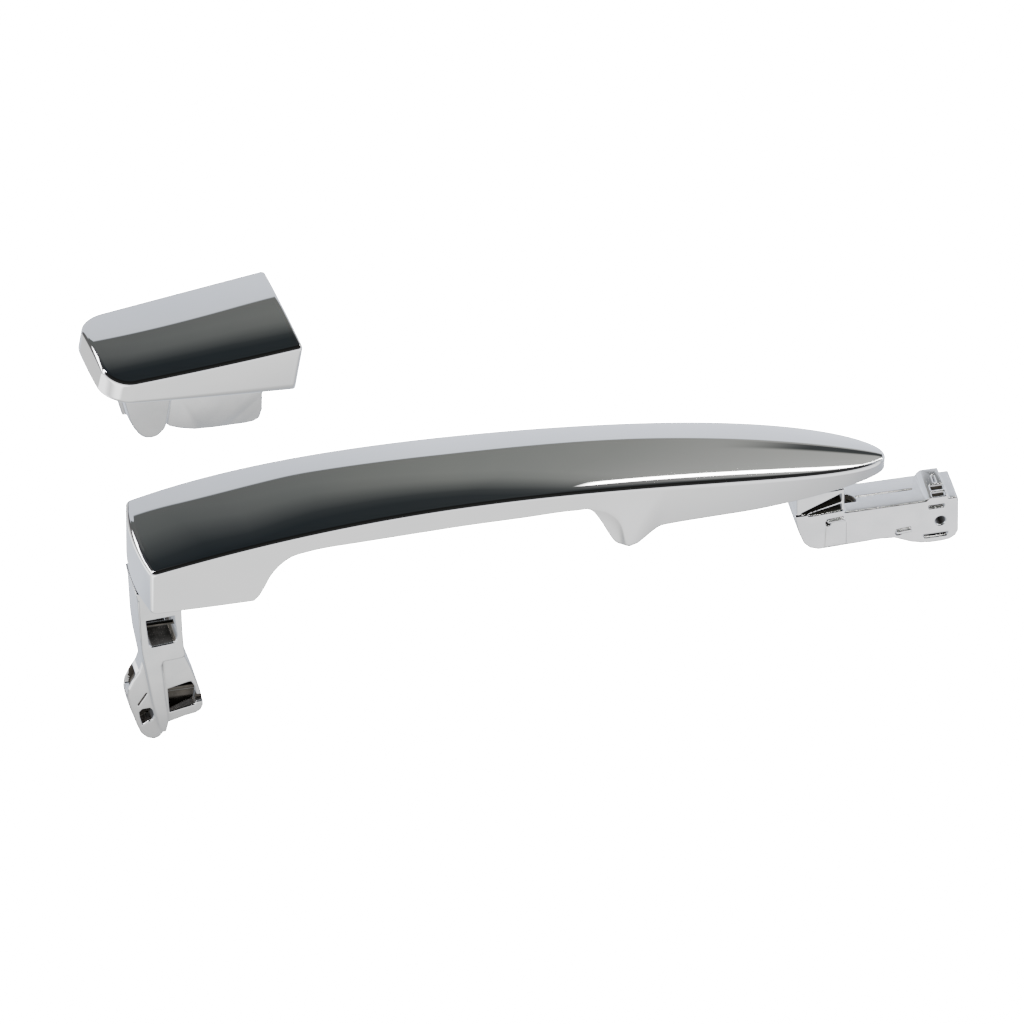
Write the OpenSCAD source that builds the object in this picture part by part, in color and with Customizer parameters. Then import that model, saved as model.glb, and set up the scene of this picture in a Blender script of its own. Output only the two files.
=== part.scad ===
// Car door pull handle with a separate rear end cap.
// The handle swings on a cross bore at its front end. Each piece is one module.
// All sizes are in millimetres. The origin is the centre of the front pivot bore,
// +X points to the rear end's opposite (towards the pivot), +Y is the bore's axis and
// +Z points away from the door skin.

/* [Grip] */
// Length of the grip from its rear end to its tip
grip_length = 221.4; // [180:0.1:240]
// Wall of the outer shell
shell_wall = 2.4; // [1.6:0.1:3.5]
// Height of the crown across the grip at its widest
crown = 2.5; // [0:0.1:5]
// Radius of the edge between the outer face and the sides
edge_r = 1.6; // [0.5:0.1:3]
// How far the rear end bows out at the middle
end_bow = 2.5; // [0:0.1:4]
// Thickness of the inner shell
inner_wall = 2.2; // [1.5:0.1:3]
// Height of the finger gap
gap_height = 15.6; // [10:0.1:20]

/* [Core beam] */
// Half width of the beam
beam_half = 5.5; // [3:0.1:8]
// Thickness of the beam in the two feet
beam_thick = 4; // [2:0.1:6]

/* [Rear arm] */
// Half width of the pull arm
rear_half = 7.6; // [6:0.1:12]
// Depth of the deepest point of the pull arm below the door skin
rear_depth = 56.7; // [45:0.1:60]
// How far the hook block and the leg stand back from the stem's front face
rear_step = 1.8; // [0:0.1:4]

/* [Front arm] */
// Half width of the pivot arm
front_half = 7; // [5:0.1:9]
// Radius of the pivot bore
pivot_r = 1.65; // [1:0.05:4]
// Distance of the pivot bore from the rear end
pivot_x = 236.6; // [200:0.1:250]
// Depth of the pivot bore below the door skin
pivot_z = 15.2; // [8:0.1:20]

/* [Screws] */
// Radius of the screw shanks
screw_r = 1.5; // [1:0.1:2.5]
// Radius of the screw heads
head_r = 2.9; // [2:0.1:4]

/* [Cap] */
// Length of the cap
cap_length = 58.2; // [40:0.1:80]
// Half width at the mating end
cap_half = 17.95; // [12:0.05:22]
// Corner radius in plan at the closed end
cap_corner = 8.6; // [4:0.1:14]
// Height of the crown across the cap
cap_crown = 2.8; // [0:0.1:5]
// How far the mating end is hollowed at the middle
cap_hollow = 1.2; // [0:0.1:4]
// How far the closed end bulges at the middle
cap_bulge = 0.8; // [0:0.1:3]
// Depth of the boss under the rim
boss_depth = 17.9; // [10:0.1:24]
// Depth of the cylinder blank under the rim
blank_depth = 16.4; // [10:0.1:24]

/* [Hidden] */
$fn = 72;
gap = 0.2;
chrome = [0.78, 0.79, 0.81];
cap_pos = [55.0, 64.0, 24.7];
cap_turn = [3.5, 7.7, 7.05];
// Knots of the lower edge of the grip's sides, from the rear end to the tip.
low_knots = [[-5, 0], [30, 0], [32.5, 3.2], [35, 8.4], [40, 0.865 * gap_height],
  [46, 0.968 * gap_height], [60, gap_height], [88, gap_height], [110, 0.965 * gap_height],
  [126, 0.94 * gap_height], [130, 0.89 * gap_height], [133, 8.9], [135.6, 3.2], [138, -0.2],
  [140.5, -1.6], [143, -1.9], [146, -1.2], [149, 0.2], [153, 0.5], [165, 0.4], [180, 0.2],
  [200, 0.9], [221, 2]];
// Screw places as [x, y]
rear_screw_xy = [[12.5, 0], [19.5, 0]];
front_screw_xy = [[170, 0], [186, 0]];
shell_screw_xy = [[27, 0], [147, 0]];

// Smooth curve through a list of [x, value] knots
function seg(x, k, i = 0) = (i >= len(k) - 2 || x < k[i + 1][0]) ? i : seg(x, k, i + 1);
function chord(k, i) = (k[i + 1][1] - k[i][1]) / (k[i + 1][0] - k[i][0]);
function slope(k, i) =
  i <= 0 ? chord(k, 0)
  : i >= len(k) - 1 ? chord(k, len(k) - 2)
  : chord(k, i - 1) * chord(k, i) <= 0 ? 0
  : (chord(k, i - 1) + chord(k, i)) / 2;
function curve(x, k) =
  let (i = seg(x, k), d = k[i + 1][0] - k[i][0], t = (x - k[i][0]) / d,
    a = k[i][1], b = k[i + 1][1], m = slope(k, i) * d, n = slope(k, i + 1) * d)
  (2 * pow(t, 3) - 3 * t * t + 1) * a + (pow(t, 3) - 2 * t * t + t) * m
  + (3 * t * t - 2 * pow(t, 3)) * b + (pow(t, 3) - t * t) * n;
function ease(t) = let (c = min(1, max(0, t))) c * c * (3 - 2 * c);

// Half width, edge height, lower edge and crown of the grip along its length
function half(x) =
  let (s = x / 222)
  sqrt(max(0.6, 319.12 + 428.37 * s - 2528.97 * s * s + 4157.41 * pow(s, 3) - 2380.06 * pow(s, 4)));
function top(x) =
  let (s = x / 100)
  14.572 + 23.518 * s - 21.325 * s * s + 7.087 * pow(s, 3) - 1.332 * pow(s, 4);
function low(x) = curve(x, low_knots);
function inset(x) = 0.33 * half(x) * ease((x - 132) / 22);
function swell(x) = crown * half(x) / 18 * (0.7 + 0.3 * ease(x / 90));

// One section of a shell: lower edge, side, rounded edge, crowned face, and back down
function section(h, e, l, n, c, r) = concat(
  [[-(h - n), l]],
  [for (a = [0 : 25 : 75]) [-(h - r + r * cos(a)), e - r + r * sin(a)]],
  [for (j = [-4 : 4]) let (y = j / 5 * (h - r + r * cos(75)))
    [y, e - r + r * sin(75) + c * (1 - pow(j / 5, 2))]],
  [for (a = [75 : -25 : 0]) [h - r + r * cos(a), e - r + r * sin(a)]],
  [[h - n, l]]);
function inward(p, h, l, w, k) = [p[0] * (h - w) / h, k == 0 ? l : max(l, p[1] - w)];

// Faces of a shell made from two grids of sections, closed at both ends
function tri(a, b, c) = (a == b || b == c || a == c) ? [] : [[a, b, c]];
function quad(a, b, c, d) = concat(tri(a, b, c), tri(a, c, d));
function grid(n, m, o, flip) = [for (i = [0 : m - 2], j = [0 : n - 2],
  f = let (a = o + i * n + j, b = a + 1, c = b + n, d = a + n)
    flip ? quad(a, d, c, b) : quad(a, b, c, d)) f];
function flat_end(n, o, flip) = [for (j = [1 : n - 2]) flip ? [o, o + j + 1, o + j] : [o, o + j, o + j + 1]];

module shell(outer, inner, flip) {
  // outer and inner are lists of sections, each section a list of points in space
  n = len(outer[0]);
  m = len(outer);
  q = n * m;
  rear_o = [for (j = [1 : n - 2]) [outer[0][j][0], outer[0][j][1], outer[0][0][2]]];
  rear_i = [for (j = [1 : n - 2]) [inner[0][j][0], inner[0][j][1], inner[0][0][2]]];
  pts = concat([for (s = outer) for (p = s) p], [for (s = inner) for (p = s) p], rear_o, rear_i);
  ro = 2 * q;
  ri = 2 * q + n - 2;
  faces = concat(
    grid(n, m, 0, false),
    grid(n, m, q, true),
    [for (i = [0 : m - 2], f = quad(i * n, (i + 1) * n, q + (i + 1) * n, q + i * n)) f],
    [for (i = [0 : m - 2], f = quad(i * n + n - 1, q + i * n + n - 1, q + (i + 1) * n + n - 1,
      (i + 1) * n + n - 1)) f],
    [for (j = [0 : n - 2], f = let (a = j == 0 ? 0 : ro + j - 1, b = j == n - 2 ? n - 1 : ro + j)
      quad(j, a, b, j + 1)) f],
    [for (j = [0 : n - 2], f = let (a = j == 0 ? q : ri + j - 1, b = j == n - 2 ? q + n - 1 : ri + j)
      quad(q + j, q + j + 1, b, a)) f],
    [for (j = [0 : n - 2], f = let (a = j == 0 ? 0 : ro + j - 1, b = j == n - 2 ? n - 1 : ro + j,
      c = j == 0 ? q : ri + j - 1, d = j == n - 2 ? q + n - 1 : ri + j) quad(a, c, d, b)) f],
    flat_end(n, (m - 1) * n, false),
    flat_end(n, q + (m - 1) * n, true),
    quad((m - 1) * n, (m - 1) * n + n - 1, q + (m - 1) * n + n - 1, q + (m - 1) * n));
  polyhedron(points = pts, faces = flip ? [for (f = faces) [f[0], f[2], f[1]]] : faces);
}

// Places for the handle and for the cap
module at_handle() {
  translate([-pivot_x, 0, pivot_z]) children();
}
module at_cap() {
  translate([-pivot_x, 0, pivot_z]) translate(cap_pos) rotate(cap_turn) children();
}
// A shape drawn in X and Z, standing across Y
module across(y0, y1) {
  translate([0, y1, 0]) rotate([90, 0, 0]) linear_extrude(y1 - y0) children();
}
module post(x, y, z0, z1, r) {
  translate([x, y, z0]) cylinder(h = z1 - z0, r = r);
}
module screw(x, y, z0, z1) {
  // z0 is the underside of the head, z1 the top of the shank
  difference() {
    union() {
      post(x, y, z0 - 1.2, z0, head_r);
      post(x, y, z0 - 0.1, z1 - 1.2, screw_r);
      translate([x, y, z1 - 1.3]) cylinder(h = 1.3, r1 = screw_r, r2 = 0.5);
    }
    translate([x, y, z0 - 2]) cylinder(h = 1.6, r = 1.2, $fn = 6);
  }
}

// ---- handle ----
stations = concat([0, 5, 12, 20, 27], [for (x = [30 : 2 : 48]) x], [54, 62, 72, 82, 92, 102, 112, 120],
  [for (x = [126 : 2 : 152]) x],
  [156, 161, 167, 175, 183, 190, 196, 201, 206, 210, 213.5, 216.5, 219, 220.6, 221.4]);
function inner_x(x) = x + shell_wall * max(0, 1 - x / 20) - 9 * ease((x - 150) / 71.4);
function bowed(x, y) = x - end_bow * max(0, 1 - pow(y / half(0), 2)) * pow(max(0, 1 - x / 45), 2);
function grip_outer(x) = [for (p = section(half(x), top(x), low(x), inset(x), swell(x),
                                           min(edge_r, half(x) / 3)))
  [bowed(x, p[0]), p[0], p[1]]];
function grip_inner(x) =
  let (s = section(half(x), top(x), low(x), inset(x), swell(x), edge_r))
  [for (k = [0 : len(s) - 1]) let (e = (k == 0 || k == len(s) - 1) ? 0 : 1,
    p = inward(s[k], half(x), low(x), shell_wall, e)) [bowed(x, p[0]), p[0], p[1]]];

module grip_outer_shell() color(chrome) at_handle() {
  difference() {
    union() {
      shell([for (x = stations) grip_outer(x * grip_length / 221.4)],
        [for (x = stations) grip_inner(inner_x(x) * grip_length / 221.4)], false);
      for (p = shell_screw_xy) post(p[0], p[1], low(p[0]) + inner_wall + gap, top(p[0]) + 0.7, 3);
    }
    for (p = shell_screw_xy) post(p[0], p[1], 0, 10, screw_r + 0.05);
  }
}

// Half width of the plate that closes the grip's underside
function plate_half(x) = (half(x) - inset(x)) * (half(x) - shell_wall) / half(x) - gap;
module plate_outline() {
  xs = [for (i = [0 : 30]) 3.2 + (grip_length - 13.2) * i / 30];
  polygon(concat([for (x = xs) [x, -plate_half(x)]], [for (i = [30 : -1 : 0]) [xs[i], plate_half(xs[i])]]));
}
function lean(x) = 1.7 * min(1, max(-1, (x - 85) / 20));
module plate_strip() {
  xs = concat([2, 12, 22, 29], [for (x = [30 : 1.5 : 54]) x], [62, 74, 86, 98, 110, 118],
    [for (x = [124 : 1.5 : 154]) x], [162, 172, 182, 192, 202, 212]);
  n = len(xs) - 1;
  polygon(concat([for (x = xs) [x, low(x)]],
    [for (i = [n : -1 : 0]) [xs[i] + lean(xs[i]), low(xs[i]) + inner_wall]]));
}
module grip_inner_shell() color([0.62, 0.63, 0.65]) at_handle() {
  difference() {
    intersection() {
      translate([0, 0, -5]) linear_extrude(40) plate_outline();
      across(-25, 25) plate_strip();
    }
    translate([-1, -9.2, -3]) cube([12.2, 18.4, 12]);
    translate([192.4, -4.4, -3]) cube([30, 8.8, 12]);
    for (p = shell_screw_xy) {
      post(p[0], p[1], -5, 10, screw_r + 0.1);
      post(p[0], p[1], -5, low(p[0]) + 1.3, head_r + 0.15);
    }
  }
}

function beam_top(x) = top(x) - 1.6;
function beam_low(x) = max(max(low(x - 2.2), low(x), low(x + 2.2)) + inner_wall + 0.3,
                           beam_top(x) - beam_thick);
module grip_core_beam() color([0.24, 0.25, 0.27]) at_handle() {
  ys = concat([4, 11, 18, 25, 30], [for (x = [33 : 3 : 48]) x], [58, 70, 82, 94, 106, 118],
    [for (x = [124 : 3 : 142]) x], [150, 160, 170, 180, 190, 197]);
  n = len(ys) - 1;
  difference() {
    across(-beam_half, beam_half)
      polygon(concat([for (x = ys) [x, beam_low(x)]], [for (i = [n : -1 : 0]) [ys[i], beam_top(ys[i])]]));
    for (p = shell_screw_xy) post(p[0], p[1], 0, 30, 3.3);
    for (p = rear_screw_xy) post(p[0], p[1], 0, 30, screw_r + 0.05);
    for (p = front_screw_xy) post(p[0], p[1], 0, 30, screw_r + 0.05);
  }
}

// ---- rear pull arm ----
// Outlines in X and Z, as [x, depth below the door skin]
function down(pts) = [for (p = pts) [p[0], -p[1]]];
module rear_pull_arm() color([0.74, 0.75, 0.77]) at_handle() {
  k = rear_depth / 56.7;
  f = -rear_half + rear_step;
  difference() {
    union() {
      // flange under the core beam, and the neck through the inner shell
      across(-5, 5) polygon([[1.4, beam_low(4) - 3.4], [1.4, beam_low(4) - 0.1], [4, beam_low(4) - 0.1],
        [11, beam_low(11) - 0.1], [18, beam_low(18) - 0.1], [22.8, beam_low(22.8) - 0.15],
        [22.8, beam_low(22.8) - 3.4], [11, beam_low(11) - 3.4]]);
      translate([1.4, -rear_half, -2]) cube([9.2, 2 * rear_half, beam_low(4) - 0.5]);
      // stem, which narrows to a rib down the arm
      across(-rear_half, rear_half) polygon(down([[-2.7, gap], [-2.1, 4], [-1.5, 17 * k], [-0.9, 23 * k],
        [0, 28.6 * k], [1.2, 36.2 * k], [2.1, 42 * k], [3.3, 47.7 * k], [4, 51 * k], [5, 53 * k],
        [6.1, 53 * k], [6.8, 50 * k], [6.6, 46 * k], [6, 40.8 * k], [5.4, 33.3 * k], [4.9, 28.2 * k],
        [5.4, 26.8 * k], [11, 26.4 * k], [11.9, 25.4 * k], [11.6, 23 * k], [11.2, 17 * k], [10.9, 8],
        [10.9, gap]]));
      // hook block on the front side
      across(f, rear_half - 1) polygon(down([[5, 25.8 * k], [11.4, 25.8 * k], [12.6, 28.5 * k],
        [14.1, 32.5 * k], [15.3, 36.4 * k], [16.5, 40.3 * k], [17.4, 44.1 * k], [17.5, 46.4 * k],
        [16.8, 48.1 * k], [15.3, 49 * k], [12, 49.6 * k], [9.1, 50.5 * k], [6.5, 51.2 * k]]));
      // leg, with its lobe on the rear side
      across(f, 1.2) polygon(down([[0.5, 24 * k], [-1.5, 30.5 * k], [-3.3, 33.4 * k], [-4.8, 36.8 * k],
        [-5.1, 39.8 * k], [-4.7, 42.5 * k], [-4.2, 44.5 * k], [-3.4, 46.9 * k], [-2.3, 50.6 * k],
        [-1.1, 53.9 * k], [0.7, 55.9 * k], [2.8, 56.7 * k], [4.6, 56.1 * k], [6, 54.1 * k],
        [6.9, 51.6 * k], [6.8, 44 * k], [4, 30 * k], [2, 24 * k]]));
    }
    // deep window in the stem, with a rib left across it
    difference() {
      across(-rear_half - 1, rear_half - 2.4) polygon(down([[0.2, 10.7 * k], [8.7, 10.2 * k],
        [9.5, 17.8 * k], [9.3, 19.3 * k], [8.6, 20.1 * k], [1.9, 20.7 * k], [1.1, 19.8 * k]]));
      across(-rear_half + 4, -rear_half + 5.6)
        polygon(down([[-1, 15 * k], [9.5, 15 * k], [9.5, 15.8 * k], [-1, 15.8 * k]]));
    }
    // groove down the rear edge of the front face
    across(-rear_half - 1, -rear_half + 0.5)
      polygon(down([[-2.1, 3], [-1.7, 3], [-1, 20 * k], [-1.4, 20 * k]]));
    // open pocket in the hook block, and its notch
    across(f - 1, f + 5) polygon(down([[6.9, 38.5 * k], [13.8, 36.7 * k], [15, 39 * k],
      [15.6, 43 * k], [15, 45.4 * k], [7.4, 47 * k]]));
    across(f - 1, f + 2.2) polygon(down([[15, 42 * k], [20, 42 * k], [20, 44.6 * k], [15, 44.6 * k]]));
    // two slanted pockets in the side of the lobe
    across(-4.8, 0.3) polygon(down([[-8, 31.5 * k], [-1.2, 32.4 * k], [-1.8, 36 * k], [-3.2, 38.6 * k],
      [-8, 38.6 * k]]));
    across(-5.1, -1.5) polygon(down([[-8, 39.3 * k], [-3.6, 39.3 * k], [-3.2, 41 * k], [-8, 41.6 * k]]));
    // square socket in the leg, and the shadow line above it
    across(f - 1, f + 4.6) polygon(down([[-1.6, 45.7 * k], [-0.7, 44.7 * k], [1.6, 44.6 * k],
      [2.6, 45.8 * k], [2.9, 47.6 * k], [2.2, 49.3 * k], [1, 49.5 * k], [-0.7, 50.6 * k], [-1.4, 47.6 * k]]));
    across(f - 1, f + 0.6) polygon(down([[0.9, 39 * k], [0.5, 38.8 * k], [-2.1, 42.8 * k],
                                         [-1.7, 43.2 * k]]));
    for (p = rear_screw_xy) {
      post(p[0], p[1], 4, 30, screw_r + 0.1);
      post(p[0], p[1], -1, beam_low(p[0]) - 3, head_r + 0.2);
    }
  }
}

// ---- front pivot arm ----
module front_pivot_arm() color([0.74, 0.75, 0.77]) at_handle() {
  f = -front_half;
  difference() {
    union() {
      // flange under the core beam, and the neck up to it
      across(-4.2, 4.2) polygon([[163, beam_low(163) - 3.3], [163, beam_low(163) - 0.1],
        [180, beam_low(180) - 0.1], [196, beam_low(196) - 0.15], [203, 5.4], [205.5, 4.4], [205.5, 0],
        [194, 0], [194, beam_low(194) - 3.3], [180, beam_low(180) - 3.3]]);
      across(-6.4, 6.4) polygon([[193.8, -8], [193.8, low(194) - gap], [208, low(208) - gap], [208, -8]]);
      // body of the arm
      across(f, front_half) polygon([[193.2, -6.3], [193.4, -7.5], [194.2, -12.2], [195.8, -16.6],
        [197.6, -18.6], [200.2, -19.6], [211.2, -19.3], [218.3, -19], [223, -19.4], [227.8, -21.7],
        [231, -22.6], [234, -22.9], [236.6, -22.9], [239.4, -22.6], [241.2, -21.4], [242, -19.8],
        [242, -8], [241.3, -7.2], [208, -7.2], [207.4, -6.3]]);
      // pads and tabs on the sides
      across(f - 0.5, f + 1) polygon([[202, -18.6], [208, -18.4], [207.6, -9.4], [202.6, -9.4]]);
      across(f - 1.2, f + 1) polygon([[202.4, -8.6], [208, -8.2], [208, -9.2], [202.4, -9.6]]);
      across(f - 1.2, f + 1) polygon([[223.2, -16.4], [227.8, -16], [227.8, -17.2], [223.2, -17.6]]);
      // latch tab across the top
      across(-6.8, 6.8) polygon([[232.2, -7.3], [233.6, -6.3], [238.7, -6.3], [239, -7.3]]);
    }
    // pivot bore
    translate([pivot_x, 0, -pivot_z]) rotate([90, 0, 0]) cylinder(h = 40, r = pivot_r, center = true);
    // wedge pocket in the neck, in two facets
    across(-8, f + 4.6) polygon([[194.8, -6], [207.2, -0.4], [207.2, -3.3], [195.8, -6.4]]);
    across(-8, f + 3.4) polygon([[196.3, -6.7], [207.2, -4.1], [207.2, -6.4], [197.6, -6.9]]);
    // half round notch behind the neck
    intersection() {
      translate([208.2, -2.2, -9.4]) cylinder(h = 4, r = 4.4);
      translate([204, -2.2, -10]) cube([10, 8, 6]);
    }
    // parting groove along the top
    translate([213, -0.2, -7.45]) cube([16.5, 0.4, 1]);
    // pockets in the latch tab
    translate([234.3, f + 0.6, -8.6]) cube([3.7, 2.2, 3]);
    translate([234.6, f + 3.7, -8.6]) cube([3.7, 2.3, 3]);
    // core slots above and below the bore
    across(-8, f + 1.5) polygon([[233, -9.1], [237.8, -9.1], [237.8, -10.3], [233, -10.3]]);
    across(-8, f + 1.5) polygon([[231.4, -19.6], [239, -19.6], [238.6, -20.9], [231.8, -20.9]]);
    // two core pockets from below
    across(-4.6, 4.6) polygon([[200.5, -25], [200.5, -10.4], [213.4, -10.4], [213.4, -25]]);
    across(-4.6, 4.6) polygon([[215.2, -25], [215.2, -10.4], [228.6, -10.4], [228.6, -25]]);
    for (p = front_screw_xy) {
      post(p[0], p[1], 2, 30, screw_r + 0.1);
      post(p[0], p[1], 2, beam_low(p[0]) - 2.9, head_r + 0.2);
    }
  }
}

module rear_arm_screws() color([0.5, 0.5, 0.52]) at_handle() {
  for (p = rear_screw_xy) screw(p[0], p[1], beam_low(p[0]) - 3.05, beam_low(p[0]) + 3.2);
}
module front_arm_screws() color([0.5, 0.5, 0.52]) at_handle() {
  for (p = front_screw_xy) screw(p[0], p[1], beam_low(p[0]) - 2.95, beam_low(p[0]) + 3.2);
}
module shell_screws() color([0.5, 0.5, 0.52]) at_handle() {
  for (p = shell_screw_xy) screw(p[0], p[1], low(p[0]) + 1.25, low(p[0]) + 9.6);
}

// ---- cap ----
// In the cap's own frame X is 0 at its mating end and negative towards its closed end.
cap_screw_xy = [[-12, 11.4], [-43, 10.2]];
insert_z = -13.4;
function cap_side(x) = cap_half + 0.034 * x - 0.0003 * x * (x + cap_length);
function cap_h(x, w) =
  let (k = cap_corner - cap_length, d = k - x)
  d <= 0 ? cap_side(x) - w
  : cap_side(k) - cap_corner + sqrt(max(0.01, pow(cap_corner - w, 2) - d * d));
function cap_top(x) = 15.85 + 0.1787 * x + 0.0002 * x * x;
function cap_bow(x, y) = x - max(0, 1 - pow(y / cap_half, 2))
  * (cap_hollow * pow(max(0, 1 + x / 45), 2) + cap_bulge * pow(max(0, (-x - 20) / (cap_length - 20)), 2));
function cap_outer(x) = [for (p = section(cap_h(x, 0), cap_top(x), 0, 0, cap_crown * cap_h(x, 0) / 18, edge_r))
  [cap_bow(x, p[0]), p[0], p[1]]];
function cap_inner(x) =
  let (h = cap_h(x, 0), s = section(h, cap_top(x), 0, 0, cap_crown * h / 18, edge_r), n = len(s) - 1)
  [for (k = [0 : n]) let (y = s[k][0] * cap_h(x, shell_wall) / h)
    [cap_bow(x, y), y, (k == 0 || k == n) ? 0 : s[k][1] - shell_wall]];
function cap_x(t, l) = -l * sin(90 * t) * (0.55 + 0.45 * sin(90 * t));

module cap_shell() color(chrome) at_cap() {
  difference() {
    union() {
      shell([for (i = [0 : 22]) cap_outer(cap_x(i / 22, cap_length))],
        [for (i = [0 : 22]) cap_inner(-shell_wall + cap_x(i / 22, cap_length - 2 * shell_wall - 0.2))], true);
      for (p = cap_screw_xy) post(p[0], p[1], inner_wall + gap, cap_top(p[0]) - 0.2, 2.7);
    }
    for (p = cap_screw_xy) post(p[0], p[1], 0, 5.4, screw_r + 0.05);
  }
}
module cap_plate_outline() {
  xs = [for (i = [0 : 24]) -3.2 + cap_x(i / 24, cap_length - 2 * shell_wall - 1.2)];
  w = cap_h(-3.2, shell_wall + gap);
  polygon(concat([for (j = [11 : -1 : -11]) [cap_bow(-3, j / 12 * w), j / 12 * w]],
    [for (x = xs) [x, -cap_h(x, shell_wall + gap)]],
    [for (i = [24 : -1 : 0]) [xs[i], cap_h(xs[i], shell_wall + gap)]]));
}
module cap_base() color([0.72, 0.73, 0.75]) at_cap() {
  difference() {
    union() {
      linear_extrude(inner_wall) cap_plate_outline();
      // screw boss with its slanted rear wall
      across(-12.3, 3.5) polygon([[-52.6, 0.5], [-48.3, -10.8], [-46.6, -13.6], [-44.9, -15.8],
        [-43.6, -17], [-42.4, -17.6], [-40.4, -boss_depth], [-38.9, -17.4], [-37.6, -16], [-36.9, -14.8],
        [-36.7, -13], [-36.7, 0.5]]);
      // thin rib beside the slanted wall
      across(-9.4, -8.2) polygon([[-54.2, 0.5], [-49.8, -10.4], [-47.4, -10.4], [-51.4, 0.5]]);
    }
    // opening for the blank
    translate([-33.6, -9.6, -1]) cube([22.2, 13.2, 5]);
    // hollow of the boss, open to the back
    across(-9.4, 5) polygon([[-50.2, -1.5], [-46.4, -9.6], [-39, -9.6], [-39, -1.5]]);
    // seat of the threaded insert
    translate([-50, -4.2, insert_z]) rotate([0, 90, 0]) cylinder(h = 20, r = 3.05);
    for (p = cap_screw_xy) {
      post(p[0], p[1], -3, 5, screw_r + 0.1);
      post(p[0], p[1], -3, 1.3, head_r + 0.15);
    }
  }
}
module cap_cylinder_blank() color([0.72, 0.73, 0.75]) at_cap() {
  difference() {
    union() {
      across(-12, 6) polygon([[-36.4, -gap], [-36.4, -13.6], [-35.4, -14.4], [-32.1, -15.6],
        [-27.4, -16.6], [-21.2, -16.7], [-12.1, -blank_depth], [-9.1, -16], [-7.4, -14.8], [-7, -11.6],
        [-7.8, -6], [-7.8, -gap]]);
      translate([-33.4, -9.4, -1]) cube([21.8, 12.8, 3.4]);
      translate([-35, -10.8, inner_wall + 0.15]) cube([25, 15.6, 1.4]);
    }
    // hollow, open to the back
    across(-10.2, 8) polygon([[-34.4, -2.2], [-34.4, -12], [-28.6, -14.4], [-12, -14.2],
      [-9.6, -12], [-9.6, -2.2]]);
  }
}
module cap_thread_insert() color([0.8, 0.66, 0.32]) at_cap() {
  difference() {
    translate([-44.9, -4.2, insert_z]) rotate([0, 90, 0]) union() {
      cylinder(h = 7.6, r = 3);
      cylinder(h = 2.4, r = 3.05);
    }
    translate([-50, -4.2, insert_z]) rotate([0, 90, 0]) cylinder(h = 20, r = 2.1);
  }
}
module cap_base_screws() color([0.5, 0.5, 0.52]) at_cap() {
  for (p = cap_screw_xy) screw(p[0], p[1], 1.25, 5.2);
}

grip_outer_shell();
grip_inner_shell();
grip_core_beam();
rear_pull_arm();
front_pivot_arm();
rear_arm_screws();
front_arm_screws();
shell_screws();
cap_shell();
cap_base();
cap_cylinder_blank();
cap_thread_insert();
cap_base_screws();
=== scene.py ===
import math

import bmesh
import bpy
import numpy as np
from mathutils import Matrix, Vector


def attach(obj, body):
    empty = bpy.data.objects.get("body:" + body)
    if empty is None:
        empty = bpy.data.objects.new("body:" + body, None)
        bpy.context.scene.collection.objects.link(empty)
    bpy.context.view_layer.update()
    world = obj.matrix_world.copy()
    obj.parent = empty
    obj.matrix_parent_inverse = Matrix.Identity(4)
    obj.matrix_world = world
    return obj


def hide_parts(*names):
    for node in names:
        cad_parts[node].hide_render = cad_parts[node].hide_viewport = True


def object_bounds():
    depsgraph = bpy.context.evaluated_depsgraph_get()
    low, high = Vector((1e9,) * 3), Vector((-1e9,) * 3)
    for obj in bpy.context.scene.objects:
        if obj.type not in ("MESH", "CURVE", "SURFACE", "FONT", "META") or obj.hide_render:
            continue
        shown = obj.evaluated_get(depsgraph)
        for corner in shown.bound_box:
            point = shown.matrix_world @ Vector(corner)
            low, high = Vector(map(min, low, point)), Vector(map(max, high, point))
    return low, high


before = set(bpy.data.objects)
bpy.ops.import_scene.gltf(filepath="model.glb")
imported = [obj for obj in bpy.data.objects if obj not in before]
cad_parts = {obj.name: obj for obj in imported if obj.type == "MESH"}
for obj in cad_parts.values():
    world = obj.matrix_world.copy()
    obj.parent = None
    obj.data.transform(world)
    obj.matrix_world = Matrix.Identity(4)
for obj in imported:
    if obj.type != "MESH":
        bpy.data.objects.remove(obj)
cad_lo, cad_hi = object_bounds()
scene = bpy.context.scene

# The drawing frame of the shapes below, in millimetres: X from the grip's rear end towards its tip,
# Z from the door skin outwards. The row frame's origin is the pivot bore.
PIVOT_X, PIVOT_Z = 236.6, 15.2
# Where the loose cap lies in that frame, and its turn about X, Y and Z in degrees
CAP_POS, CAP_TURN = (55.0, 64.0, 24.7), (3.5, 7.7, 7.05)


def to_row(points):
    p = np.asarray(points, float).reshape(-1, 3)
    return (p + (-PIVOT_X, 0, PIVOT_Z)) / 1000


def turn(degrees):
    a, b, c = (math.radians(d) for d in degrees)
    rx = np.array([[1, 0, 0], [0, math.cos(a), -math.sin(a)], [0, math.sin(a), math.cos(a)]])
    ry = np.array([[math.cos(b), 0, math.sin(b)], [0, 1, 0], [-math.sin(b), 0, math.cos(b)]])
    rz = np.array([[math.cos(c), -math.sin(c), 0], [math.sin(c), math.cos(c), 0], [0, 0, 1]])
    return rz @ ry @ rx


CAP_TURN_M = turn(CAP_TURN)


def cap_to_row(points):
    p = np.asarray(points, float).reshape(-1, 3)
    return to_row(p @ CAP_TURN_M.T + CAP_POS)


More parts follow.
